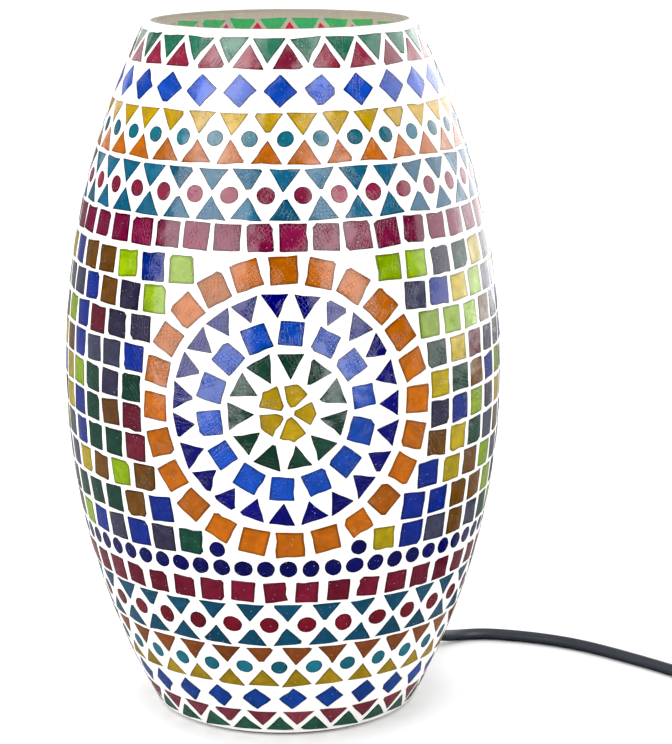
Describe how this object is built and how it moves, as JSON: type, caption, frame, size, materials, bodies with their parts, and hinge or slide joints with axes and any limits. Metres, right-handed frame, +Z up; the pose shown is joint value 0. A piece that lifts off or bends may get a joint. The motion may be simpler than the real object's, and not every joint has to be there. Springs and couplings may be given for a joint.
{
  "type": "mosaic table lamp",
  "caption": "Barrel-shaped clear glass lamp covered in hand-cut coloured glass mosaic and white grout, open at the top, with lampholder, bulb and black switched flex.",
  "frame": {"origin": "centre of the foot on the table, under the felt", "axes": "+Z up along the lamp's axis; -Y is the front, where the first medallion is; +X to the right, where the flex lies"},
  "size_m": [0.3859, 0.2416, 0.3],
  "materials": {
    "clear_glass": "clear, blown, smooth",
    "white_grout": "matt, sanded cement grout",
    "felt": "dark felt",
    "glass_seagreen": "glossy stained glass, hand cut",
    "glass_rose": "glossy stained glass, hand cut",
    "glass_blue": "glossy stained glass, hand cut",
    "glass_yellow": "glossy stained glass, hand cut",
    "glass_amber": "glossy stained glass, hand cut",
    "glass_teal": "glossy stained glass, hand cut",
    "glass_teal_round": "glossy stained glass, hand cut",
    "glass_ruby_round": "glossy stained glass, hand cut",
    "glass_ruby": "glossy stained glass, hand cut",
    "glass_lime": "glossy stained glass, hand cut",
    "glass_brown": "glossy stained glass, hand cut",
    "glass_charcoal": "glossy stained glass, hand cut",
    "glass_slate": "glossy stained glass, hand cut",
    "glass_royal": "glossy stained glass, hand cut",
    "glass_green": "glossy stained glass, hand cut",
    "glass_maroon": "glossy stained glass, hand cut",
    "glass_orange": "glossy stained glass, hand cut",
    "glass_navy": "glossy stained glass, hand cut",
    "glass_medallion_blue": "glossy stained glass, hand cut",
    "glass_dark_green": "glossy stained glass, hand cut",
    "glass_gold": "glossy stained glass, hand cut",
    "glass_cobalt": "glossy stained glass, hand cut",
    "glass_lower_ruby": "glossy stained glass, hand cut",
    "glass_lower_teal": "glossy stained glass, hand cut",
    "glass_deep_ruby": "glossy stained glass, hand cut",
    "glass_lower_amber": "glossy stained glass, hand cut",
    "glass_lower_yellow": "glossy stained glass, hand cut",
    "glass_lower_blue": "glossy stained glass, hand cut",
    "glass_base_rose": "glossy stained glass, hand cut",
    "glass_base_green": "glossy stained glass, hand cut",
    "brass": "satin",
    "steel": "zinc plated",
    "nickel": "polished",
    "black_rubber": "matt black",
    "black_flex": "satin black sheath",
    "wire_sleeve": "smooth insulation",
    "black_plastic": "fine moulded grain",
    "black_gloss": "glossy moulded",
    "white_insulator": "glazed steatite look",
    "opal_glass": "opal white",
    "white_plastic": "matt white"
  },
  "bodies": {
    "lamp": {"glass_shell": "clear_glass", "grout_coat": "white_grout", "foot_felt": "felt", "rim_green_triangles": "glass_seagreen", "rim_ruby_triangles": "glass_rose", "upper_blue_diamonds": "glass_blue", "upper_yellow_triangles": "glass_yellow", "upper_amber_triangles": "glass_amber", "upper_teal_triangles": "glass_teal", "upper_ruby_rounds": "glass_ruby_round", "upper_ruby_squares": "glass_ruby", "field_lime_squares": "glass_lime", "field_yellow_squares": "glass_yellow", "field_brown_squares": "glass_brown", "field_charcoal_squares": "glass_charcoal", "field_slate_squares": "glass_slate", "field_blue_squares": "glass_royal", "field_green_squares": "glass_green", "field_maroon_squares": "glass_maroon", "medallion_orange_squares": "glass_orange", "medallion_navy_triangles": "glass_navy", "medallion_blue_squares": "glass_medallion_blue", "medallion_green_triangles": "glass_dark_green", "medallion_yellow_wedges": "glass_gold", "teal_rounds": "glass_teal_round", "cobalt_rounds": "glass_cobalt", "lower_ruby_squares": "glass_lower_ruby", "lower_teal_triangles": "glass_lower_teal", "lower_ruby_rounds": "glass_deep_ruby", "lower_amber_triangles": "glass_lower_amber", "lower_yellow_triangles": "glass_lower_yellow", "lower_blue_diamonds": "glass_lower_blue", "base_ruby_triangles": "glass_base_rose", "base_green_triangles": "glass_base_green", "threaded_tubes": "brass", "sealing_washers": "black_rubber", "steel_washers": "steel", "lock_nut": "steel", "side_entry_coupler": "brass", "lampholder_cap": "black_gloss", "lampholder_skirt": "black_gloss", "contact_carrier": "white_insulator", "screw_shell": "brass", "centre_contact": "brass", "flex_strain_relief": "black_rubber", "inner_lead": "black_flex", "core_wires": "wire_sleeve", "flex_lead": "black_flex", "flex_tail": "black_flex", "flex_coil": "black_flex", "flex_end": "black_flex", "switch_base": "black_plastic", "switch_terminals": "brass", "switch_cover": "black_plastic", "plug_body": "black_plastic", "plug_pins": "nickel"},
    "bulb": {"bulb_globe": "opal_glass", "bulb_collar": "white_plastic", "bulb_cap": "nickel"},
    "rocker": {"switch_rocker": "black_gloss"}
  },
  "joints": [
    {"name": "bulb_lift", "type": "slide", "parent": "lamp", "child": "bulb", "axis": [0, 0, 1], "range_m": [0, 0.03]},
    {"name": "rocker_tilt", "type": "hinge", "parent": "lamp", "child": "rocker", "pos_m": [0.2088, -0.04099, 0.0135], "axis": [-0.8271, -0.5621, 0], "range_deg": [0, 14]}
  ]
}
